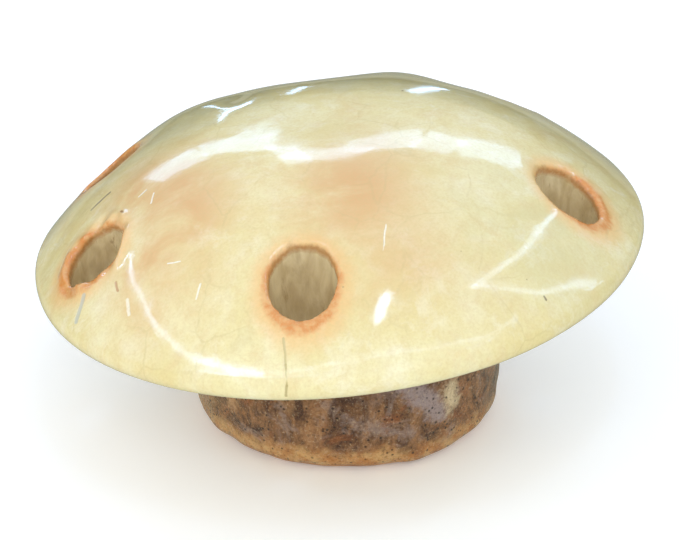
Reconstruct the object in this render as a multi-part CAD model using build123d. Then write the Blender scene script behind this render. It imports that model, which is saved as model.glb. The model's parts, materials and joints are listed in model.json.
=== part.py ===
from build123d import *

"""Mushroom flower frog: a pierced ceramic cap luted onto a hollow pedestal stem.

Millimetres. +Z is up and the origin is on the ground, below the middle of the cap.
The cap leans a few degrees towards -X, as a cap set by hand does. Flower stems drop
through the ring of holes, past the outside of the pedestal, to the floor of the bowl
the frog stands in.
"""

import os
from math import atan2, cos, radians, sin

# Cap, measured over the glaze, from the plane of its widest edge
CAP_RADIUS = 57.0
DOME_HEIGHT = 24.4
DOME_POWER = 2.8  # the higher, the flatter the crown and the steeper the flank
BELLY_DEPTH = 8.8
RIM_ROUND = 3.0  # radius of the widest edge, seen in section
RIM_SLOPE = 48.0  # degrees, where the dome runs out into the rounded edge
EDGE_HEIGHT = 34.0  # widest edge above the ground
CAP_LEAN = 5.7  # degrees, towards -X
CLAY_OVER_HOLLOW = 12.0  # thickness left above the scooped-out middle
SCOOP_RISE = 6.0  # height of the scoop's domed ceiling

# Glaze and slip
GLAZE = 0.7
SLIP = 0.8

# Stem holes: azimuth on the cap, share of the cap's radius, lean of the cutter, azimuth it leans towards
HOLE_RADIUS = 6.0
HOLES = [
    (-157.7, 0.823, 12.0, -137.0),
    (-96.8, 0.736, 3.0, 110.0),
    (-16.4, 0.788, 14.0, 45.0),
    (41.0, 0.79, 4.0, 41.0),
    (99.0, 0.78, 6.0, 98.0),
    (160.0, 0.79, 5.0, 157.0),
]
MOUTH_ROUND = 1.4  # radius where the glaze rolls over a hole's upper edge

# Pedestal stem
STEM_X = 1.6  # the stem stands a little off the cap's centre
FOOT_RADIUS = 27.2
STEM_BULGE_RADIUS = 28.2
STEM_BULGE_HEIGHT = 8.5
STEM_TOP_RADIUS = 28.4
STEM_TOP_HEIGHT = 22.0
STEM_BORE_RADIUS = 17.5
FOOT_ROUND = 2.2
BARE_FOOT = 2.6  # height left free of glaze above the ground
COIL_RADIUS = 2.4  # thickness of the coil pressed into the joint

PROFILE_SHARES = (0.25, 0.5, 0.7, 0.85)  # where the dome's profile is sampled
TALL = 120.0  # longer than the whole object, for cutters


def dome_rise(radius, inset=0.0):
    """Height of the dome, shrunk by inset, at a distance from its axis."""
    turn = RIM_ROUND - inset
    end = CAP_RADIUS - RIM_ROUND + turn * cos(radians(RIM_SLOPE))
    low = turn * sin(radians(RIM_SLOPE))
    return low + (DOME_HEIGHT - inset - low) * (1 - (radius / end) ** DOME_POWER)


def place_cap(shape):
    """Carries a shape from the cap's own frame to its place on the stem."""
    return Pos(0, 0, EDGE_HEIGHT) * Rot(0, -CAP_LEAN, 0) * shape


def cap_lens(inset, drop=0.0):
    """The cap's closed outer form without holes, shrunk by inset and lowered by drop."""
    depth = BELLY_DEPTH - inset
    turn = RIM_ROUND - inset
    reach = CAP_RADIUS - RIM_ROUND
    slope = radians(RIM_SLOPE)
    belly_radius = (reach**2 + depth**2 - turn**2) / (2 * (depth - turn))
    tuck = atan2(belly_radius - depth, reach)
    top = (0, 0, DOME_HEIGHT - inset)
    bottom = (0, 0, -depth)
    widest = (reach + turn, 0, 0)
    rim_top = (reach + turn * cos(slope), 0, turn * sin(slope))
    rim_bottom = (reach + turn * cos(tuck), 0, -turn * sin(tuck))
    crown = [(s * rim_top[0], 0, dome_rise(s * rim_top[0], inset)) for s in PROFILE_SHARES]
    run_out = (sin(slope), 0, -cos(slope))
    outline = Wire(
        [
            Edge.make_spline([top, *crown, rim_top], tangents=[(1, 0, 0), run_out]),
            Edge.make_three_point_arc(rim_top, widest, rim_bottom),
            Edge.make_tangent_arc(bottom, (1, 0, 0), rim_bottom),
            Edge.make_line(bottom, top),
        ]
    )
    return place_cap(Pos(0, 0, -drop) * revolve(Face(outline), Axis.Z))


def hole_plane(azimuth, reach, lean, lean_azimuth):
    """The plane at a hole's mouth, in the cap's frame, with its Z along the hole."""
    a = radians(azimuth)
    radius = reach * CAP_RADIUS
    mouth = (radius * cos(a), radius * sin(a), dome_rise(radius))
    t = radians(lean)
    d = radians(lean_azimuth)
    return Plane(origin=mouth, z_dir=(sin(t) * cos(d), sin(t) * sin(d), cos(t)))


def hole_cutters(radius):
    """One long cylinder for each stem hole."""
    return [place_cap(hole_plane(*hole) * Cylinder(radius, TALL)) for hole in HOLES]


def scooped_middle():
    """The hollow cut into the cap from below, inside the stem, with a domed ceiling."""
    top = EDGE_HEIGHT + DOME_HEIGHT - GLAZE - CLAY_OVER_HOLLOW
    shoulder = (STEM_BORE_RADIUS, 0, top - SCOOP_RISE)
    outline = Wire(
        [
            Edge.make_spline([(0, 0, top), shoulder], tangents=[(1, 0, 0), (0, 0, -1)]),
            Edge.make_line(shoulder, (STEM_BORE_RADIUS, 0, -TALL)),
            Edge.make_line((STEM_BORE_RADIUS, 0, -TALL), (0, 0, -TALL)),
            Edge.make_line((0, 0, -TALL), (0, 0, top)),
        ]
    )
    return Pos(STEM_X, 0, 0) * revolve(Face(outline), Axis.Z)


def stem_column(outset, bottom):
    """The pedestal's outside as a solid column that runs on up into the cap."""
    foot = (FOOT_RADIUS + outset, 0, 0)
    bulge = (STEM_BULGE_RADIUS + outset, 0, STEM_BULGE_HEIGHT)
    top = (STEM_TOP_RADIUS + outset, 0, STEM_TOP_HEIGHT)
    into_cap = (STEM_TOP_RADIUS + outset, 0, EDGE_HEIGHT)
    outline = Wire(
        [
            Edge.make_spline([foot, bulge, top], tangents=[(0.4, 0, 1), (0, 0, 1)]),
            Edge.make_line(top, into_cap),
            Edge.make_line(into_cap, (0, 0, EDGE_HEIGHT)),
            Edge.make_line((0, 0, EDGE_HEIGHT), (0, 0, 0)),
            Edge.make_line((0, 0, 0), foot),
        ]
    )
    column = revolve(Face(outline), Axis.Z)
    if bottom > 0:
        column -= Pos(0, 0, bottom / 2) * Cylinder(TALL / 2, bottom)
    return Pos(STEM_X, 0, 0) * column


def bore():
    """The pedestal's hollow, as a cutter longer than the object."""
    return Pos(STEM_X, 0, 0) * Cylinder(STEM_BORE_RADIUS, TALL)


def cap_clay():
    """The cap's clay inside its glaze coat."""
    return cap_lens(GLAZE) - hole_cutters(HOLE_RADIUS + GLAZE)


def glazed_form():
    """The cap over its glaze, with the upper edge of every hole rolled over."""
    form = cap_lens(0) - hole_cutters(HOLE_RADIUS)
    mouths = [
        form.edges().sort_by_distance(place_cap(hole_plane(*hole)).origin)[0] for hole in HOLES
    ]
    return fillet(mouths, MOUTH_ROUND)


def stem_clay():
    """The pedestal's clay with a rounded foot, cut to sit under the cap on its slip."""
    column = stem_column(0, 0)
    rim = column.edges().group_by(Axis.Z)[0].sort_by(SortBy.LENGTH)[-1]
    return fillet(rim, FOOT_ROUND) - bore() - cap_lens(GLAZE, SLIP)


def slip_layer():
    """The film of liquid clay that fills the gap between stem and cap."""
    return (stem_column(0, 0) - bore()) & (cap_lens(GLAZE, SLIP) - cap_lens(GLAZE))


def coil_ring():
    """The coil as rolled, a full ring, before it is pressed into the joint."""
    joint_height = EDGE_HEIGHT - BELLY_DEPTH + GLAZE
    ring = Torus(STEM_TOP_RADIUS, COIL_RADIUS)
    return Pos(STEM_X, 0, joint_height) * Rot(0, -CAP_LEAN, 0) * ring


def joint_coil():
    """The thin coil of clay smoothed into the corner between stem and cap."""
    return coil_ring() - stem_column(0, 0) - cap_lens(GLAZE)


def cap_coat():
    """The glaze over the cap, down its underside as far as the joint and through its holes."""
    return glazed_form() - cap_clay() - stem_column(0, 0) - coil_ring()


def stem_coat():
    """The glaze over the pedestal, from the bare foot up to the coil."""
    coat = stem_column(GLAZE, BARE_FOOT) - stem_column(0, 0)
    return coat - coil_ring() - cap_lens(0)


def build():
    """Every node's shape by name."""
    return {
        "cap_body": cap_clay() - scooped_middle(),
        "cap_glaze": cap_coat(),
        "slip_joint": slip_layer(),
        "luting_coil": joint_coil(),
        "stem_body": stem_clay(),
        "stem_glaze": stem_coat(),
    }


def main():
    os.makedirs("parts", exist_ok=True)
    for name, shape in build().items():
        export_step(shape, f"parts/{name}.step")


main()
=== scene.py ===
"""Looks of a mushroom-shaped ceramic flower frog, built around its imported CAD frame.

Shapes are worked out in millimetres, in the frame's own axes, and stored in metres.
"""

import json
import math

import bpy
import numpy as np
from mathutils import Matrix, Vector


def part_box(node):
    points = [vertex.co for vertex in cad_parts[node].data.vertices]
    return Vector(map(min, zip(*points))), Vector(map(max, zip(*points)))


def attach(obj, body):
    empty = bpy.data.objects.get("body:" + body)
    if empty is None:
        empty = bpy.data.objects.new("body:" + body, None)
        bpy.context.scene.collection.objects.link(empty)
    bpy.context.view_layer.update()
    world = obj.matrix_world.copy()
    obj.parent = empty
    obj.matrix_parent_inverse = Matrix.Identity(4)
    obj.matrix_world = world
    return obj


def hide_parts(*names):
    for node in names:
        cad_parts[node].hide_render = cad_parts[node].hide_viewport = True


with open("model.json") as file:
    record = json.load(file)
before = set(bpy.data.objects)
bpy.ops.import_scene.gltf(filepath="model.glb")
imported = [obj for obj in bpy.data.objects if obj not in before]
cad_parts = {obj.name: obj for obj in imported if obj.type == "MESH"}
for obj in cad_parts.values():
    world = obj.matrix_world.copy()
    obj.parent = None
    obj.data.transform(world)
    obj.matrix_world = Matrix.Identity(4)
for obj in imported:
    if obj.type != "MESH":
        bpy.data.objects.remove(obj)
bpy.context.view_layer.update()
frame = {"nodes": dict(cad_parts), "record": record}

MM = 0.001

# Cap, as in the CAD model
CAP_LO, CAP_HI = (np.array(v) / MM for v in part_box("cap_glaze"))
CAP_RADIUS = (CAP_HI[1] - CAP_LO[1]) / 2
CAP_LEAN = math.radians(-5.7)
EDGE_HEIGHT = 34.0
DOME_HEIGHT = 24.4
DOME_POWER = 2.8
BELLY_DEPTH = 8.8
RIM_ROUND = 3.0
RIM_SLOPE = math.radians(48.0)
RIM_REACH = CAP_RADIUS - RIM_ROUND
BELLY_RADIUS = (RIM_REACH**2 + BELLY_DEPTH**2 - RIM_ROUND**2) / (2 * (BELLY_DEPTH - RIM_ROUND))
BELLY_TUCK = math.atan2(BELLY_RADIUS - BELLY_DEPTH, RIM_REACH)
HOLES = [m for m in frame["record"]["mounts"] if m["kind"] == "bore"]
MOUTH_BLEND = 1.3  # roundness of the holes' mouths
LIP_OFFSET = 1.0  # middle of the uneven lip round a hole, out from the hole's wall
LIP_SPREAD = 1.6
LIP_UNEVENNESS = 0.07
LUMPY_HOLE = "stem_hole_1"
LUMPY_UNEVENNESS = 0.45

# Stem, as in the CAD model
STEM_LO, STEM_HI = (np.array(v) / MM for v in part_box("stem_body"))
STEM_X = (STEM_LO[0] + STEM_HI[0]) / 2
STEM_RADIUS = (STEM_HI[0] - STEM_LO[0]) / 2
FOOT_RADIUS = 27.2
BORE_RADIUS = 17.5
FOOT_ROUND = 2.2
GLAZE = 0.7
CLAY_OVER_HOLLOW = 12.0  # thickness of the cap left above its scooped-out middle
WELL_CLEARANCE = 0.6  # gap between the cap's glaze and the scooped-out middle
JOINT_GAP = 0.1  # gap between the stem's top and the cap's underside

# Mesh of the cap
VOXEL = 0.6
GRID_MARGIN = 2.5
FAR_AWAY = 99.0  # distance given to the points that no hole's edge is near

GLASS_IOR = 1.52  # how strongly the glaze bends light

# Where the studio lights are aimed, and how far off they stand, in metres
LIGHT_AIM = (0, 0, 0.045)
LIGHT_DISTANCE = 2.5
COOL_WHITE = (0.40, 0.64, 1.0)  # strong in blue, so its mirror image on the cream glaze reads white
WARM_WHITE = (1.0, 0.975, 0.945)

# Soft swells and dents left by the maker's hands: x, y on the cap, spread along each, height
HAND_MARKS = [
    (-28.0, 26.0, 10.0, 9.0, 1.0),
    (-2.0, 37.0, 9.0, 9.0, -0.8),
    (-17.5, 22.0, 2.6, 5.0, -0.6),
    (14.0, 37.0, 7.0, 7.0, 0.7),
    (28.0, 32.0, 8.0, 8.0, -0.6),
]


def lumps(points, size, seed):
    """Smooth seeded unevenness between about -1 and 1, with features of the given size."""
    rng = np.random.default_rng(seed)
    total = np.zeros(len(points))
    waves = 9
    peak = 1.6  # the sum's usual greatest value, in units of its spread
    for _ in range(waves):
        direction = rng.normal(size=3)
        direction /= np.linalg.norm(direction)
        length = size * rng.uniform(0.7, 1.6)
        total += np.sin(points @ direction * (2 * math.pi / length) + rng.uniform(0, 2 * math.pi))
    return total / math.sqrt(waves / 2) / peak


def smooth_max(a, b, blend):
    """The greater of two fields, rounded where they cross."""
    near = np.maximum(blend - np.abs(a - b), 0) / blend
    return np.maximum(a, b) + near * near * blend / 4


def to_cap(points):
    """World points in the cap's own leaning frame."""
    c, s = math.cos(CAP_LEAN), math.sin(CAP_LEAN)
    x, y, z = points[:, 0], points[:, 1], points[:, 2] - EDGE_HEIGHT
    return np.stack([c * x - s * z, y, s * x + c * z], 1)


def cap_section(radius, height, swell):
    """Signed distance from the cap's outline in section, before its holes are cut."""
    end = RIM_REACH + RIM_ROUND * math.cos(RIM_SLOPE)
    low = RIM_ROUND * math.sin(RIM_SLOPE)
    rise = DOME_HEIGHT - low
    share = np.maximum(radius, 1e-6) / end
    slope = rise * DOME_POWER * share ** (DOME_POWER - 1) / end
    dome = (height - low - rise * (1 - share**DOME_POWER) - swell) / np.sqrt(1 + slope**2)
    belly = np.hypot(radius, height - (BELLY_RADIUS - BELLY_DEPTH)) - BELLY_RADIUS
    out = radius - RIM_REACH
    rim = np.hypot(out, height) - RIM_ROUND - swell * math.cos(RIM_SLOPE)
    above = np.arctan2(height, out)
    at_rim = (out > 0) & (above < RIM_SLOPE) & (above > -BELLY_TUCK)
    return np.where(at_rim, rim, np.maximum(dome, belly))


def hole_frame(mount):
    """A hole's axis, two directions square to it, a point on it and its radius."""
    axis = Vector(mount["axis"]).normalized()
    side = axis.orthogonal().normalized()
    across = axis.cross(side)
    point = np.array(mount["pos_m"]) / MM
    return np.array(axis), np.array(side), np.array(across), point, mount["dims"]["r_mm"]


def hole_polar(points, mount):
    """Distance from a hole's axis, angle round it and height along it."""
    axis, side, across, point, _ = hole_frame(mount)
    away = points - point
    height = away @ axis
    a, b = away @ side, away @ across
    return np.hypot(a, b), np.arctan2(b, a), height


def hole_wall(angle, height, mount, index):
    """Radius of a hole's wall, with the streaks the cutter drew down it."""
    radius = mount["dims"]["r_mm"]
    streaks = 0.06 * np.sin(7 * angle + index) + 0.03 * np.sin(15 * angle + 2 * index + height * 0.04)
    rough = 0.03 * np.sin(23 * angle + 0.6 * height + index)
    return radius + streaks + rough


def hand_swell(local):
    """How far the maker's hands raised or sank the cap's top, by place."""
    swell = 0.16 * lumps(local * (1, 1, 0.3), 36.0, 3) + 0.012 * lumps(local, 9.0, 5)
    for x, y, wide, deep, height in HAND_MARKS:
        swell += height * np.exp(-(((local[:, 0] - x) / wide) ** 2) - ((local[:, 1] - y) / deep) ** 2)
    return swell


def cap_field(points):
    """Signed distance from the glazed cap: negative inside."""
    local = to_cap(points)
    radius = np.hypot(local[:, 0], local[:, 1])
    field = cap_section(radius, local[:, 2], hand_swell(local))
    for index, mount in enumerate(HOLES):
        away, angle, height = hole_polar(points, mount)
        near = np.exp(-(((away - mount["dims"]["r_mm"] - LIP_OFFSET) / LIP_SPREAD) ** 2))
        rough = LUMPY_UNEVENNESS if mount["name"] == LUMPY_HOLE else LIP_UNEVENNESS
        bulge = near * rough * (0.4 + lumps(points, 5.0, 40 + index))
        wall = hole_wall(angle, height, mount, index) - 0.5 * rough * lumps(points, 6.0, 50 + index)
        field = smooth_max(field - bulge, wall - away, MOUTH_BLEND)
    well = np.hypot(points[:, 0] - STEM_X, points[:, 1]) - (BORE_RADIUS + WELL_CLEARANCE)
    ceiling = EDGE_HEIGHT + DOME_HEIGHT - CLAY_OVER_HOLLOW
    well = np.maximum(well, points[:, 2] - ceiling)
    return np.maximum(field, -well)


def settle(points, field, reach):
    """Moves points along the field's slope onto its zero level."""
    probe = 0.02
    least_slope = 0.05
    for _ in range(3):
        value = field(points)
        slope = np.stack([(field(points + probe * axis) - value) / probe for axis in np.eye(3)], 1)
        move = -value[:, None] * slope / np.maximum((slope**2).sum(1), least_slope)[:, None]
        points = points + np.clip(move, -reach, reach)
    return points


def wrap(field, low, high, step):
    """Closed quad mesh of a field's zero level, one vertex to each grid cell it crosses."""
    axes = [np.arange(a, b + step, step) for a, b in zip(low, high)]
    counts = np.array([len(a) for a in axes])
    grid = np.stack(np.meshgrid(*axes, indexing="ij"), -1).reshape(-1, 3)
    value = field(grid).reshape(counts)
    cells = counts - 1
    strides = np.array([cells[1] * cells[2], cells[2], 1])
    quads, owners, crossings = [], [], []
    for axis in range(3):
        second, third = (axis + 1) % 3, (axis + 2) % 3
        here = np.take(value, np.arange(counts[axis] - 1), axis)
        there = np.take(value, np.arange(1, counts[axis]), axis)
        at = np.argwhere((here < 0) != (there < 0))
        a, b = here[tuple(at.T)], there[tuple(at.T)]
        crossing = np.array(low) + at * step
        crossing[:, axis] += step * a / (a - b)
        ring = []
        for back_second, back_third in ((1, 1), (0, 1), (0, 0), (1, 0)):
            cell = at.copy()
            cell[:, second] -= back_second
            cell[:, third] -= back_third
            ring.append(cell @ strides)
        ring = np.stack(ring, 1)
        owners.append(ring.ravel())
        crossings.append(np.repeat(crossing, 4, 0))
        quads.append(np.where((a < 0)[:, None], ring, ring[:, ::-1]))
    used, owner = np.unique(np.concatenate(owners), return_inverse=True)
    crossings = np.concatenate(crossings)
    share = np.bincount(owner)
    middle = [np.bincount(owner, crossings[:, i]) / share for i in range(3)]
    faces = np.searchsorted(used, np.concatenate(quads))
    return settle(np.stack(middle, 1), field, step * 0.5), faces


def loft(rings):
    """Closed quad mesh through rings of points, the last ring joined back to the first."""
    rows, around = rings.shape[:2]
    index = np.arange(rows * around).reshape(rows, around)
    below = np.roll(index, -1, 0)
    faces = np.stack([index, np.roll(index, -1, 1), np.roll(below, -1, 1), below], -1)
    return rings.reshape(-1, 3), faces.reshape(-1, 4)


def make_piece(name, points, faces, material, attributes=None):
    """A smooth mesh object in metres from points in millimetres."""
    mesh = bpy.data.meshes.new(name)
    mesh.from_pydata((points * MM).tolist(), [], faces.tolist())
    for key, values in (attributes or {}).items():
        layer = mesh.attributes.new(key, "FLOAT", "POINT")
        layer.data.foreach_set("value", values.astype(np.float32))
    mesh.shade_smooth()
    mesh.materials.append(material)
    piece = bpy.data.objects.new(name, mesh)
    bpy.context.scene.collection.objects.link(piece)
    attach(piece, "root")
    return piece


# Node helpers


def rgb(red, green, blue):
    """A linear colour from display values out of 255."""
    linear = [((c / 255 + 0.055) / 1.055) ** 2.4 if c > 10 else c / 255 / 12.92 for c in (red, green, blue)]
    return (*linear, 1.0)


# Patches of other colour on the stem: start, end (mm), half width, colour, strength
STEM_PATCHES = [
    ((11.0, -26.5, 19.0), (18.0, -23.5, 11.0), 3.6, rgb(168, 150, 148), 0.9),
    ((20.0, -21.5, 14.5), (20.5, -21.0, 11.5), 3.0, rgb(226, 204, 164), 1.0),
    ((25.0, -16.0, 18.0), (28.5, -8.5, 12.0), 3.0, rgb(164, 118, 78), 0.9),
    ((2.0, -27.5, 11.0), (12.0, -25.5, 8.0), 3.0, rgb(160, 138, 128), 0.8),
    ((-22.0, -15.5, 17.0), (-19.0, -19.0, 11.0), 3.0, rgb(204, 160, 112), 0.8),
    ((-10.0, -25.5, 16.0), (-8.0, -26.0, 13.0), 2.4, rgb(150, 118, 84), 0.7),
]

# Hairlines and scratches in the glaze: start, end (mm), half width, colour, strength
SURFACE_MARKS = [
    ((-9.4, -50.4, 40.3), (-9.1, -53.8, 37.0), 0.28, rgb(200, 184, 134), 0.8),
    ((-9.1, -53.8, 37.0), (-8.8, -56.2, 34.1), 0.28, rgb(190, 172, 120), 0.8),
    ((-8.8, -56.2, 34.1), (-9.0, -56.2, 32.0), 0.32, rgb(180, 162, 112), 0.8),
    ((-45.7, -25.8, 35.7), (-47.0, -29.3, 32.3), 0.7, rgb(186, 192, 188), 0.7),
    ((-45.9, -3.4, 42.1), (-42.2, -2.2, 44.9), 0.5, rgb(120, 110, 96), 0.75),
    ((-39.6, -12.0, 46.0), (-38.2, -14.4, 45.8), 0.35, rgb(140, 96, 60), 0.75),
    ((-39.8, -28.6, 39.9), (-39.2, -30.4, 39.2), 0.4, rgb(186, 128, 92), 0.7),
    ((-38.1, -19.4, 44.9), (-38.3, -22.0, 44.1), 0.3, rgb(150, 120, 80), 0.6),
    ((36.0, -39.0, 42.4), (36.4, -39.4, 42.0), 0.3, rgb(110, 96, 78), 0.8),
    ((8.4, -32.9, 53.6), (7.8, -38.1, 51.1), 0.22, rgb(255, 252, 238), 0.75),
    ((-24.2, -38.0, 44.4), (-24.9, -40.2, 42.6), 0.3, rgb(255, 252, 238), 0.75),
    ((-30.1, -31.4, 45.1), (-27.9, -32.2, 45.9), 0.22, rgb(255, 252, 238), 0.75),
    ((-36.3, -10.6, 48.3), (-35.1, -9.8, 49.1), 0.3, rgb(255, 252, 238), 0.75),
    ((-33.9, -14.8, 48.9), (-33.5, -12.2, 49.7), 0.3, rgb(255, 252, 238), 0.75),
    ((-37.4, -33.4, 38.8), (-37.0, -36.0, 37.4), 0.5, rgb(255, 252, 238), 0.6),
]


class Looks:
    """A material's node tree, built one node at a time."""

    def __init__(self, name):
        self.material = bpy.data.materials.new(name)
        self.material.use_nodes = True
        self.tree = self.material.node_tree
        self.tree.nodes.clear()
        self.place = self.node("ShaderNodeTexCoord").outputs["Object"]

    def node(self, kind, inputs=None, **settings):
        """A node with its settings, and each input joined to another node or given a value."""
        made = self.tree.nodes.new(kind)
        for key, value in settings.items():
            setattr(made, key, value)
        for key, value in (inputs or {}).items():
            if isinstance(value, bpy.types.NodeSocket):
                self.tree.links.new(value, made.inputs[key])
            else:
                made.inputs[key].default_value = value
        return made

    def noise(self, size_mm, detail=3.0, rough=0.5, stretch=(1, 1, 1), warp=0.0, shift=0.0):
        """Fractal noise with features of the given size, stretched along the axes."""
        scale = [s / (size_mm * MM) for s in stretch]
        inputs = {"Vector": self.place, "Scale": scale, "Location": (shift, shift * 0.7, shift * 0.3)}
        spot = self.node("ShaderNodeMapping", inputs).outputs[0]
        inputs = {"Vector": spot, "Scale": 1.0, "Detail": detail, "Roughness": rough, "Distortion": warp}
        return self.node("ShaderNodeTexNoise", inputs).outputs["Fac"]

    def drift(self, spot, scale, amount):
        """A spot shifted about by noise."""
        inputs = {"Vector": spot, "Scale": scale, "Detail": 3.0}
        shift = self.node("ShaderNodeTexNoise", inputs).outputs["Color"]
        centred = self.vector("SUBTRACT", {0: shift, 1: (0.5, 0.5, 0.5)}).outputs[0]
        return self.vector("MULTIPLY_ADD", {0: centred, 1: (amount,) * 3, 2: spot}).outputs[0]

    def cells(self, size_mm, feature="F1", spot=None):
        """Distance in a pattern of scattered cells."""
        inputs = {"Vector": spot or self.place, "Scale": 1 / (size_mm * MM)}
        return self.node("ShaderNodeTexVoronoi", inputs, feature=feature).outputs["Distance"]

    def math(self, operation, a, b=0.0, c=0.0, clamp=False):
        """The result of one step of arithmetic."""
        made = self.node("ShaderNodeMath", {0: a, 1: b, 2: c}, operation=operation, use_clamp=clamp)
        return made.outputs[0]

    def vector(self, operation, inputs):
        """One step of vector arithmetic, as a node."""
        return self.node("ShaderNodeVectorMath", inputs, operation=operation)

    def band(self, value, low, high, out_low=0.0, out_high=1.0):
        """A smooth step from out_low to out_high as the value goes from low to high."""
        inputs = {"Value": value, "From Min": low, "From Max": high, "To Min": out_low, "To Max": out_high}
        return self.node("ShaderNodeMapRange", inputs, interpolation_type="SMOOTHSTEP").outputs[0]

    def mix(self, share, a, b):
        """Two colours mixed by a share."""
        return self.node("ShaderNodeMix", {0: share, 6: a, 7: b}, data_type="RGBA").outputs[2]

    def from_line(self, start, end, wander):
        """Distance in mm from a wandering line between two points given in mm."""
        place = self.vector("MULTIPLY", {0: self.place, 1: (1 / MM,) * 3}).outputs[0]
        place = self.drift(place, 0.35, wander)
        along = Vector(end) - Vector(start)
        away = self.vector("SUBTRACT", {0: place, 1: start}).outputs[0]
        reach = self.vector("DOT_PRODUCT", {0: away, 1: along / along.length_squared}).outputs["Value"]
        share = self.math("ADD", reach, 0.0, clamp=True)
        foot = self.vector("SCALE", {0: along, "Scale": share}).outputs[0]
        return self.vector("DISTANCE", {0: away, 1: foot}).outputs["Value"]

    def mark(self, name):
        """A number stored on the mesh."""
        return self.node("ShaderNodeAttribute", attribute_name=name).outputs["Fac"]

    def bump(self, height, depth_mm, normal=None):
        """A surface roughened by a height, on top of an earlier roughening."""
        inputs = {"Height": height, "Strength": 1.0, "Distance": depth_mm * MM}
        if normal:
            inputs["Normal"] = normal
        return self.node("ShaderNodeBump", inputs).outputs[0]

    def finish(self, **inputs):
        """Ends the tree with a principled surface."""
        inputs = {key.replace("_", " "): value for key, value in inputs.items()}
        surface = self.node("ShaderNodeBsdfPrincipled", inputs).outputs[0]
        self.node("ShaderNodeOutputMaterial", {"Surface": surface})
        return self.material


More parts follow.
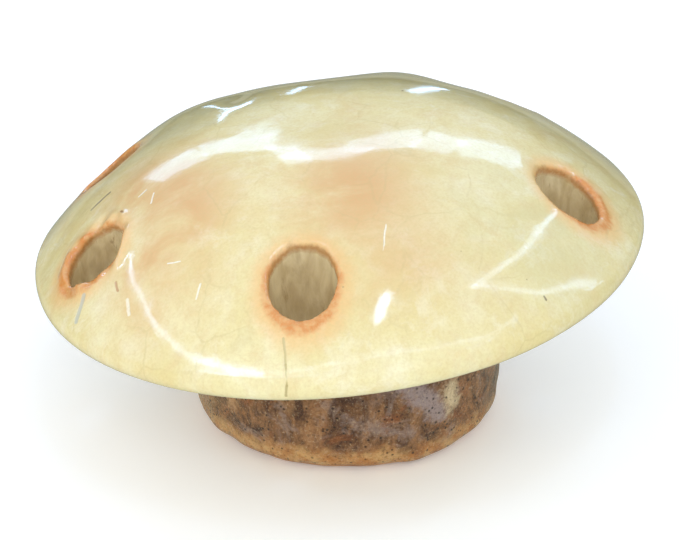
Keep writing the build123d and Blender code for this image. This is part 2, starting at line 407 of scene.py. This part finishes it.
def cream_glaze():
    """Glossy cream glaze: warm blushes, orange where it thins over the holes' edges. Painted light: a
    grey-green painted reflection with pale painted streak glints over the far shoulder, painted shade below
    the rim, and brown just inside the holes that is partly painted shade.
    """
    look = Looks("cream_glaze")
    mottle = look.noise(15, 5, 0.6, warp=0.3)
    colour = look.mix(look.band(mottle, 0.3, 0.7), rgb(240, 231, 184), rgb(231, 216, 156))
    streak = look.noise(5, 3, 0.6, stretch=(1, 1, 0.12), warp=0.4)
    colour = look.mix(look.band(streak, 0.45, 0.8, 0, 0.5), colour, rgb(246, 240, 212))
    speckled = look.noise(2.4, 6, 0.75, stretch=(1, 1, 0.5), shift=8)
    colour = look.mix(look.band(speckled, 0.42, 0.7, 0, 0.4), colour, rgb(222, 200, 146))
    tan = look.noise(9, 6, 0.7, warp=0.4, shift=1.3)
    colour = look.mix(look.band(tan, 0.5, 0.68, 0, 0.5), colour, rgb(226, 200, 144))
    colour = look.mix(look.band(tan, 0.46, 0.32, 0, 0.5), colour, rgb(248, 242, 214))
    cloud = look.noise(20, 5, 0.65, warp=0.6, shift=3.1)
    blush = look.math("MULTIPLY", look.mark("blush"), look.band(cloud, 0.32, 0.6, 0.3, 1))
    colour = look.mix(blush, colour, rgb(222, 176, 122))
    # Greener, greyer glaze: a real tint on the right front, and painted shade below the rim.
    shade = look.math("MULTIPLY", look.mark("cool"), look.band(cloud, 0.65, 0.35, 0.4, 1))
    colour = look.mix(shade, colour, rgb(204, 200, 156))
    # Painted reflection: grey-green and pale streaks over the far shoulder stand for the dark surround and
    # bright streaks mirrored at a grazing angle.
    far = look.mark("far_edge")
    painted_green_grey_reflection = look.math("MULTIPLY", far, look.band(streak, 0.3, 0.7, 0.45, 0.85))
    colour = look.mix(painted_green_grey_reflection, colour, rgb(170, 168, 128))
    reflection_streak_noise = look.noise(2.2, 4, 0.6, stretch=(0.3, 1, 1), warp=0.3, shift=4)
    painted_streak_glints = look.math("MULTIPLY", far, look.band(reflection_streak_noise, 0.6, 0.68, 0, 0.4))
    colour = look.mix(painted_streak_glints, colour, rgb(232, 228, 200))
    uneven = look.noise(1.5, 5, 0.7)
    ring_place = look.math("MULTIPLY_ADD", uneven, 1.8, look.mark("from_lip"))
    halo = look.band(ring_place, 5.4, 1.6, 0, 0.65)
    colour = look.mix(halo, colour, rgb(238, 186, 122))
    ring = look.band(ring_place, 2.3, 0.9)
    ring = look.math("MULTIPLY", ring, look.band(look.noise(2.2, 4, 0.65, shift=5), 0.3, 0.6, 0.45, 1))
    colour = look.mix(ring, colour, rgb(218, 142, 76))
    # Brown just inside each hole's mouth: partly glaze breaking brown, partly painted shade under the lip.
    depth = look.math("MULTIPLY_ADD", uneven, 1.4, look.mark("down_hole"))
    colour = look.mix(look.band(depth, 0.9, 1.6, 0, 0.85), colour, rgb(168, 116, 66))
    bore = look.band(depth, 1.6, 2.8)
    drawn = look.noise(2.6, 5, 0.6, stretch=(1, 1, 0.35), warp=0.5)
    lining = look.mix(look.band(drawn, 0.3, 0.7), rgb(186, 162, 120), rgb(220, 202, 160))
    stain = look.band(look.noise(1.8, 5, 0.7, stretch=(1, 1, 0.2), shift=6), 0.6, 0.7, 0, 0.6)
    colour = look.mix(bore, colour, look.mix(stain, lining, rgb(140, 104, 66)))
    fleck = look.band(look.cells(5.5), 0.055, 0.035)
    fleck = look.math("MULTIPLY", fleck, look.band(look.noise(9, 2, 0.5, shift=9), 0.55, 0.6))
    colour = look.mix(look.math("MULTIPLY", fleck, 0.8), colour, rgb(120, 84, 48))
    wavy = look.drift(look.place, 1 / (4 * MM), 2.5 * MM)
    crazing = look.cells(11, "DISTANCE_TO_EDGE", wavy)
    crazing = look.math("MULTIPLY", look.band(crazing, 0.025, 0.006, 0, 0.2), look.band(cloud, 0.45, 0.6))
    colour = look.mix(crazing, colour, rgb(196, 178, 124))
    scored = 0.0
    for start, end, wide, colour_of_mark, share in SURFACE_MARKS:
        line = look.math("MULTIPLY", look.band(look.from_line(start, end, 0.5), wide, wide * 0.4), share)
        colour = look.mix(line, colour, colour_of_mark)
        scored = look.math("MAXIMUM", scored, line)
    grain = look.noise(0.5, 3, 0.6)
    colour = look.mix(look.band(grain, 0.35, 0.75, 0, 0.26), colour, rgb(208, 188, 130))
    rough = look.band(look.noise(6, 4, 0.6), 0.3, 0.7, 0.05, 0.12)
    rough = look.math("MAXIMUM", rough, look.math("MULTIPLY", bore, 0.32))
    ripple = look.bump(look.noise(5, 2, 0.5), 0.05)
    peel = look.bump(look.noise(0.8, 4, 0.6), 0.010, ripple)
    pitted = look.bump(look.math("MULTIPLY", look.math("MAXIMUM", fleck, scored), -1), 0.08, peel)
    return look.finish(
        Base_Color=colour,
        Roughness=rough,
        Normal=pitted,
        IOR=GLASS_IOR,
        Subsurface_Weight=0.08,
        Subsurface_Radius=(0.004, 0.003, 0.0015),
        Subsurface_Scale=0.5,
        Coat_Weight=0.35,
        Coat_Roughness=0.05,
    )


def brown_glaze():
    """Glossy mottled brown glaze with mauve-grey clouds, running thin and tan at the foot, darkened by
    painted shade just under the cap.
    """
    look = Looks("brown_glaze")
    mottle = look.noise(3.4, 8, 0.75, stretch=(1, 1, 0.6), warp=0.5)
    colour = look.mix(look.band(mottle, 0.34, 0.66), rgb(70, 37, 21), rgb(170, 122, 78))
    cloud = look.noise(7, 6, 0.7, warp=0.8, shift=2)
    colour = look.mix(look.band(cloud, 0.48, 0.64, 0, 0.6), colour, rgb(168, 144, 130))
    # Painted shade: darker brown over the top of the stem, where the cap shades it.
    high = look.math("MULTIPLY_ADD", look.noise(4, 5, 0.7, shift=3), 9.0, look.mark("above_edge"))
    colour = look.mix(look.band(high, 16, 24, 0, 0.8), colour, rgb(92, 56, 36))
    rust = look.noise(6, 5, 0.7, warp=0.6, shift=14)
    colour = look.mix(look.band(rust, 0.54, 0.66, 0, 0.7), colour, rgb(150, 88, 44))
    fray = look.math("MULTIPLY", look.noise(1.2, 5, 0.7, shift=12), 5.0)
    for start, end, wide, colour_of_patch, share in STEM_PATCHES:
        away = look.math("ADD", look.from_line(start, end, 2.0), fray)
        colour = look.mix(look.band(away, wide + 2.5, wide, 0, share), colour, colour_of_patch)
    ragged = look.math("MULTIPLY_ADD", look.noise(3.5, 4, 0.6, shift=4), 6.0, look.mark("above_edge"))
    thin = look.band(ragged, 8.4, 4.4)
    tan = look.mix(look.band(look.noise(2.2, 4, 0.6), 0.35, 0.65), rgb(190, 126, 66), rgb(214, 168, 108))
    colour = look.mix(thin, colour, tan)
    cream = look.mix(look.band(mottle, 0.35, 0.65), rgb(232, 208, 152), rgb(208, 162, 108))
    colour = look.mix(look.mark("pale_side"), colour, cream)
    dusting = look.noise(0.5, 4, 0.7, shift=9)
    colour = look.mix(look.band(dusting, 0.52, 0.7, 0, 0.6), colour, rgb(70, 40, 26))
    colour = look.mix(look.band(dusting, 0.44, 0.3, 0, 0.5), colour, rgb(222, 196, 158))
    speck = look.band(look.cells(1.3), 0.24, 0.12)
    speck = look.math("MULTIPLY", speck, look.band(look.noise(5, 2, 0.5, shift=11), 0.4, 0.55))
    colour = look.mix(look.math("MULTIPLY", speck, 0.8), colour, rgb(40, 26, 20))
    rough = look.band(look.noise(2.5, 5, 0.7), 0.35, 0.7, 0.08, 0.3)
    rises = look.bump(look.noise(2.0, 5, 0.65), 0.45)
    crust = look.bump(look.noise(0.8, 5, 0.7), 0.45, rises)
    pits = look.bump(look.math("MULTIPLY", speck, -1), 0.15, crust)
    return look.finish(
        Base_Color=colour,
        Roughness=rough,
        Normal=pits,
        IOR=GLASS_IOR,
        Coat_Weight=0.7,
        Coat_Roughness=0.08,
        Coat_Normal=crust,
    )


def bare_clay(name, light, dark):
    """Fired clay without glaze: gritty, matt, with a little iron speckle."""
    look = Looks(name)
    colour = look.mix(look.band(look.noise(7, 5, 0.65), 0.3, 0.7), light, dark)
    grit = look.band(look.cells(1.4), 0.22, 0.1)
    grit = look.math("MULTIPLY", grit, look.band(look.noise(3, 2, 0.5, shift=2), 0.5, 0.6))
    colour = look.mix(look.math("MULTIPLY", grit, 0.7), colour, rgb(84, 56, 38))
    rings = look.noise(1.8, 2, 0.5, stretch=(0.06, 0.06, 1))
    turned = look.bump(rings, 0.12)
    sandy = look.bump(look.noise(0.45, 3, 0.6), 0.05, turned)
    rough = look.band(look.noise(4, 3, 0.5), 0.3, 0.7, 0.72, 0.92)
    return look.finish(Base_Color=colour, Roughness=rough, Normal=sandy)


# Pieces


def blush_at(local):
    """Where the glaze is warmer, by place on the cap."""
    warm = np.zeros(len(local))
    for x, y, wide, deep, amount in (
        (-27, -22, 10, 15, 1.0),
        (-34, -8, 9, 10, 0.8),
        (5, -24, 12, 15, 1.0),
        (16, -40, 10, 7, 0.4),
        (-34, -30, 9, 9, 0.4),
        (4, 36, 16, 10, 0.3),
    ):
        warm += amount * np.exp(-(((local[:, 0] - x) / wide) ** 2) - ((local[:, 1] - y) / deep) ** 2)
    return np.clip(warm, 0, 1)


def tint_and_under_shade_at(local):
    """Where the glaze is a little greener and greyer: a real tint on the right front, and painted shade
    below the rim where the cap rolls under.
    """
    side = np.exp(-(((local[:, 0] - 36) / 18) ** 2) - ((local[:, 1] + 28) / 14) ** 2) * 0.5
    # Painted shade: greyer glaze below the rim, where the cap rolls under.
    under = np.clip((-1.0 - local[:, 2]) / 4, 0, 1) * 0.6
    return np.clip(side + under, 0, 1)


def painted_reflection_at(local):
    """Where a grey-green painted reflection of the dark surround is laid on the glaze: over the crown's far
    shoulder.
    """
    radius = np.hypot(local[:, 0], local[:, 1])
    behind = np.clip((local[:, 1] - 2) / 24, 0, 1)
    shoulder = np.clip((radius - 4) / 24, 0, 1)
    return behind * shoulder * (1 - 0.5 * np.clip((local[:, 0] - 8) / 16, 0, 1))


def build_cap(material):
    """The glazed cap: a leaning dome with soft hand marks and rolled hole mouths."""
    points, faces = wrap(cap_field, CAP_LO - GRID_MARGIN, CAP_HI + GRID_MARGIN, VOXEL)
    local = to_cap(points)
    from_lip = np.full(len(points), FAR_AWAY)
    down_hole = np.zeros(len(points))
    lip_start = 0.3
    downhill_reach = 1.4
    surface = cap_section(np.hypot(local[:, 0], local[:, 1]), local[:, 2], hand_swell(local))
    for index, mount in enumerate(HOLES):
        away, angle, height = hole_polar(points, mount)
        wall = away - hole_wall(angle, height, mount, index)
        centre = np.array(mount["pos_m"][:2]) / MM
        outward = (points[:, :2] - centre) @ centre / np.linalg.norm(centre) / np.maximum(away, 1.0)
        lip = wall - lip_start - downhill_reach * outward
        from_lip = np.minimum(from_lip, np.where(local[:, 2] > 0, lip, FAR_AWAY))
        inside = wall < 1.0
        down_hole = np.where(inside, np.maximum(-surface, 0), down_hole)
    attributes = {
        "from_lip": from_lip,
        "down_hole": down_hole,
        "blush": blush_at(local),
        "cool": tint_and_under_shade_at(local),
        "far_edge": painted_reflection_at(local),
    }
    cap = make_piece("glazed_cap", points, faces, material, attributes)
    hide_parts("cap_glaze")


def belly_height(x, y):
    """Height of the cap's underside above a point of the ground."""
    lift = BELLY_RADIUS - BELLY_DEPTH
    centre_x = lift * math.sin(CAP_LEAN)
    centre_z = EDGE_HEIGHT + lift * math.cos(CAP_LEAN)
    return centre_z - np.sqrt(BELLY_RADIUS**2 - (x - centre_x) ** 2 - y**2)


def stem_side(height, angle):
    """Outside radius of the stem's clay by height, uneven round the stem."""
    foot_reach = 4.0
    smooth = STEM_RADIUS - (STEM_RADIUS - FOOT_RADIUS) * np.exp(-np.maximum(height, 0) / foot_reach)
    flutes = 0.16 * np.sin(9 * angle + 1.4 * np.sin(2 * angle)) + 0.1 * np.sin(21 * angle + 0.1 * height)
    return smooth + flutes


def ring_points(radius, height, angle):
    """Points round the stem's axis."""
    x = STEM_X + radius * np.cos(angle)
    return np.stack([x, radius * np.sin(angle), height + 0 * x], -1)


def under_cap(radius, angle):
    """Height of the cap's underside above a ring round the stem's axis."""
    return belly_height(STEM_X + radius * np.cos(angle), radius * np.sin(angle))


def build_stem_clay(material):
    """The thrown pedestal: turned foot ring, rounded outside edge and ridged bore."""
    around = 320
    angle = np.linspace(0, 2 * math.pi, around, endpoint=False)
    bore_low, bore_high = 0.35, 26.0
    bore_edge = BORE_RADIUS + 0.5
    bore_wall = BORE_RADIUS + 0.15
    taper = 0.3
    rings = []
    for height in np.linspace(bore_low, bore_high, 60):
        ridge = 0.07 * math.sin(height * 1.3) + 0.04 * math.sin(height * 3.1 + 1)
        rings.append(ring_points(bore_wall + ridge, height, angle))
    squeeze = (under_cap(BORE_RADIUS, angle) - JOINT_GAP) / rings[-1][:, 2]
    for ring in rings:
        ring[:, 2] = bore_low + (ring[:, 2] - bore_low) * squeeze
    for radius in np.linspace(bore_edge, STEM_RADIUS - 0.6, 6):
        rings.append(ring_points(radius, under_cap(radius, angle) - JOINT_GAP, angle))
    outer_top = under_cap(STEM_RADIUS - taper, angle) - JOINT_GAP
    for share in np.linspace(1, 0, 40):
        height = FOOT_ROUND + (outer_top - FOOT_ROUND) * share
        rings.append(ring_points(stem_side(height, angle) - taper * share, height, angle))
    for turn in np.linspace(0, math.pi / 2, 9)[1:]:
        radius = stem_side(0, angle) - FOOT_ROUND * (1 - math.cos(turn))
        rings.append(ring_points(radius, FOOT_ROUND * (1 - math.sin(turn)), angle))
    for radius in np.linspace(FOOT_RADIUS - 3.4, BORE_RADIUS + 1.2, 7):
        groove = 0.12 * math.sin(radius * 4.0) ** 2
        rings.append(ring_points(radius, groove, angle))
    rings.append(ring_points(bore_edge, 0.05, angle))
    points, faces = loft(np.array(rings)[::-1])
    stem = make_piece("stem_clay", points, faces, material)
    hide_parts("stem_body")


def collar_flare(gap, angle):
    """How far the glaze swells out below the cap: a rounded collar on the right, a flare elsewhere."""
    reach = 8.0  # how far below the cap it starts
    collar_swell = 3.0
    flare_swell = 2.7
    right = np.clip(np.cos(angle), 0, 1) ** 2
    share = np.clip((reach - gap) / (reach / 2), 0, 1)
    collar = collar_swell * share * share * (3 - 2 * share)
    flare = flare_swell * np.clip(1 - gap / reach, 0, 1) ** 2
    return right * collar + (1 - right) * flare


def build_stem_glaze(material):
    """The pedestal's glaze: a lumpy coat that stops above the ground and flares to the cap."""
    around = 440
    angle = np.linspace(0, 2 * math.pi, around, endpoint=False)
    circle = np.stack([np.cos(angle), np.sin(angle), 0 * angle], 1) * 30
    edge = 1.5 + 0.5 * lumps(circle, 22, 21) + 0.25 * lumps(circle, 7, 22)
    overlap = 0.6  # how far the coat runs on into the cap's glaze
    rim_swell = 2.5
    inset = 0.25  # how far the coat's back lies inside the clay
    top = under_cap(STEM_RADIUS + rim_swell, angle) + overlap
    outer, inner, above = [], [], []
    for share in np.linspace(0, 1, 64) ** 1.15:
        height = edge + (top - edge) * share
        flare = collar_flare(np.maximum(top - overlap - height, 0), angle)
        up = height - edge
        roll = GLAZE * np.sqrt(np.clip(up / 1.4, 0, 1))
        spots = circle * (1, 1, 0) + np.stack([0 * height, 0 * height, height], 1)
        uneven = 0.16 * lumps(spots, 9, 23) + 0.08 * lumps(spots, 3.5, 24)
        uneven = uneven * np.clip(up / 2.0, 0, 1)
        outer.append(ring_points(stem_side(height, angle) + roll + flare + uneven, height, angle))
        inner.append(ring_points(stem_side(height, angle) - inset, height, angle))
        above.append(up)
    points, faces = loft(np.array(outer + inner[::-1]))
    heights = np.array(above + above[::-1]).ravel()
    turn = np.arctan2(points[:, 1], points[:, 0] - STEM_X)
    pale_turn, pale_spread = -0.93 * math.pi, 0.28
    left = np.exp(-(((np.abs(turn - pale_turn) % (2 * math.pi)) / pale_spread) ** 2))
    pale_side = left * np.clip((points[:, 2] - 3) / 5, 0, 1) * 0.9
    attributes = {"above_edge": heights, "pale_side": pale_side}
    coat = make_piece("stem_glaze_coat", points, faces, material, attributes)
    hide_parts("stem_glaze")


def build_floor():
    """A pale floor for the object to stand on."""
    look = Looks("pale_floor")
    tone = look.mix(look.noise(60, 2, 0.5), rgb(255, 255, 255), rgb(253, 253, 254))
    material = look.finish(Base_Color=tone, Roughness=0.6, Emission_Color=tone, Emission_Strength=0.14)
    half = 3.0  # metres
    mesh = bpy.data.meshes.new("floor")
    corners = [(-half, -half, 0), (half, -half, 0), (half, half, 0), (-half, half, 0)]
    mesh.from_pydata(corners, [], [(0, 1, 2, 3)])
    mesh.materials.append(material)
    floor = bpy.data.objects.new("floor", mesh)
    bpy.context.scene.collection.objects.link(floor)
    floor.visible_glossy = False


def toward(azimuth, elevation, distance=LIGHT_DISTANCE):
    """A point in a direction from the frog: azimuth from +Y towards +X, in degrees."""
    a, e = math.radians(azimuth), math.radians(elevation)
    away = Vector((math.sin(a) * math.cos(e), math.cos(a) * math.cos(e), math.sin(e)))
    return Vector(LIGHT_AIM) + distance * away


def strip_light(name, start, end, wide, brightness, shape="RECTANGLE"):
    """A soft light stretched between two directions, facing the frog, its width in radians."""
    first, last = toward(*start), toward(*end)
    middle = (first + last) / 2
    along = (last - first).normalized()
    outward = (middle - Vector(LIGHT_AIM)).normalized()
    across = outward.cross(along).normalized()
    outward = along.cross(across)
    lamp = bpy.data.lights.new(name, "AREA")
    lamp.shape = shape
    lamp.color = COOL_WHITE
    lamp.size, lamp.size_y = (last - first).length, wide * LIGHT_DISTANCE
    lamp.energy = brightness * math.pi * lamp.size * lamp.size_y
    light = bpy.data.objects.new(name, lamp)
    light.matrix_world = Matrix((along, across, outward)).transposed().to_4x4()
    light.location = middle
    light.visible_camera = False
    bpy.context.scene.collection.objects.link(light)


def strip_path(name, spots, wide, brightness):
    """A bent strip of light running through a row of directions."""
    for index, (start, end) in enumerate(zip(spots, spots[1:])):
        strip_light(f"{name}_{index + 1}", start, end, wide, brightness)


def fill_light(name, azimuth, elevation, size, brightness):
    """A large soft light that brightens surfaces but is not mirrored in them."""
    place = toward(azimuth, elevation)
    lamp = bpy.data.lights.new(name, "AREA")
    lamp.shape = "DISK"
    lamp.size = size * LIGHT_DISTANCE
    lamp.color = WARM_WHITE
    lamp.energy = brightness * math.pi * lamp.size**2
    light = bpy.data.objects.new(name, lamp)
    light.location = place
    light.rotation_euler = (place - Vector(LIGHT_AIM)).to_track_quat("Z", "Y").to_euler()
    light.visible_camera = False
    light.visible_glossy = False
    bpy.context.scene.collection.objects.link(light)


def build_horizon():
    """A low dark card behind the frog, seen only as its reflection in the glaze."""
    look = Looks("horizon")
    material = look.finish(Base_Color=rgb(60, 62, 50), Roughness=1.0, Specular_IOR_Level=0.0)
    corners = []
    for azimuth in range(-80, 81, 10):
        for elevation in (-5, 13):
            corners.append(toward(azimuth, elevation, LIGHT_DISTANCE + 0.3))
    faces = [(i, i + 1, i + 3, i + 2) for i in range(0, len(corners) - 2, 2)]
    mesh = bpy.data.meshes.new("horizon")
    mesh.from_pydata(corners, [], faces)
    mesh.materials.append(material)
    card = bpy.data.objects.new("horizon", mesh)
    card.visible_camera = False
    card.visible_diffuse = False
    card.visible_shadow = False
    bpy.context.scene.collection.objects.link(card)


def build_world():
    """A pale surround, darker and greener towards the horizon."""
    world = bpy.data.worlds.new("studio")
    world.use_nodes = True
    tree = world.node_tree
    place = tree.nodes.new("ShaderNodeTexCoord")
    split = tree.nodes.new("ShaderNodeSeparateXYZ")
    ramp = tree.nodes.new("ShaderNodeValToRGB")
    tree.links.new(place.outputs["Generated"], split.inputs[0])
    tree.links.new(split.outputs["Z"], ramp.inputs[0])
    ramp.color_ramp.elements[0].position = 0.2
    ramp.color_ramp.elements[0].color = (0.36, 0.37, 0.30, 1)
    ramp.color_ramp.elements[1].position = 0.6
    ramp.color_ramp.elements[1].color = (0.96, 0.98, 1.0, 1)
    tree.links.new(ramp.outputs[0], tree.nodes["Background"].inputs["Color"])
    tree.nodes["Background"].inputs["Strength"].default_value = 0.85
    bpy.context.scene.world = world


def build_lights():
    """Soft studio light: a long box behind, slim strips round the front and sides, and fills."""
    strip_path("back_box_left", [(-31, 19), (-20, 21), (-9, 25)], 0.14, 2.9)
    strip_path("back_box_notch", [(-9.5, 27), (-11, 39)], 0.05, 2.9)
    strip_path("back_box_right", [(-10, 37), (-4, 32), (5, 32), (14, 34.5), (27, 28.5)], 0.125, 2.9)
    strip_path("left_strip", [(-54, 26), (-64, 29), (-75, 32), (-90, 35), (-108, 40)], 0.016, 10)
    strip_path("front_left_strip", [(-108, 40), (-122, 44), (-136, 48)], 0.034, 10)
    front_right = [(-136, 48), (-156, 54), (180, 58), (146, 57), (120, 52), (100, 48)]
    strip_path("front_right_strip", front_right, 0.012, 6)
    strip_light("front_spot", (172, 66), (152, 77), 0.055, 12, "ELLIPSE")
    strip_path("side_strip", [(47, 33), (72, 50), (102, 62)], 0.02, 8)
    strip_path("side_strip_low", [(100, 62), (85, 44), (66, 27)], 0.02, 7)
    strip_path("far_streak", [(-11, 0), (-9, 6), (-13, 12)], 0.012, 8)
    strip_path("far_streak_middle", [(-4, 1), (-6, 9)], 0.006, 7)
    strip_path("far_streak_right", [(6, 0), (3, 12)], 0.022, 6)
    fill_light("front_fill", 190, 36, 0.7, 1.15)
    fill_light("left_fill", 245, 20, 0.5, 2.1)
    fill_light("right_fill", 120, 26, 0.5, 1.5)
    fill_light("low_fill", 185, 12, 0.5, 1.0)


def build_camera():
    """A long-lens camera a little above the frog."""
    tilt = math.radians(26.5)
    distance = 0.6
    target = Vector((0, 0, EDGE_HEIGHT * MM))
    data = bpy.data.cameras.new("camera")
    data.sensor_width = 36
    data.lens = 169.69
    data.shift_x = 0.0025
    data.shift_y = -0.04368
    camera = bpy.data.objects.new("camera", data)
    camera.location = target + distance * Vector((0, -math.cos(tilt), math.sin(tilt)))
    camera.rotation_euler = (math.pi / 2 - tilt, 0, 0)
    bpy.context.scene.collection.objects.link(camera)
    bpy.context.scene.camera = camera


def dress(node, material):
    """Gives a carried-over CAD node a better material."""
    mesh = frame["nodes"][node].data
    mesh.materials.clear()
    mesh.materials.append(material)


clay = bare_clay("clay", rgb(196, 152, 108), rgb(166, 120, 80))
slip = bare_clay("slip", rgb(178, 134, 94), rgb(150, 108, 74))
build_cap(cream_glaze())
build_stem_clay(clay)
build_stem_glaze(brown_glaze())
dress("cap_body", clay)
dress("slip_joint", slip)
dress("luting_coil", slip)
build_floor()
build_world()
build_horizon()
build_lights()
build_camera()
bpy.context.scene.view_settings.view_transform = "Standard"
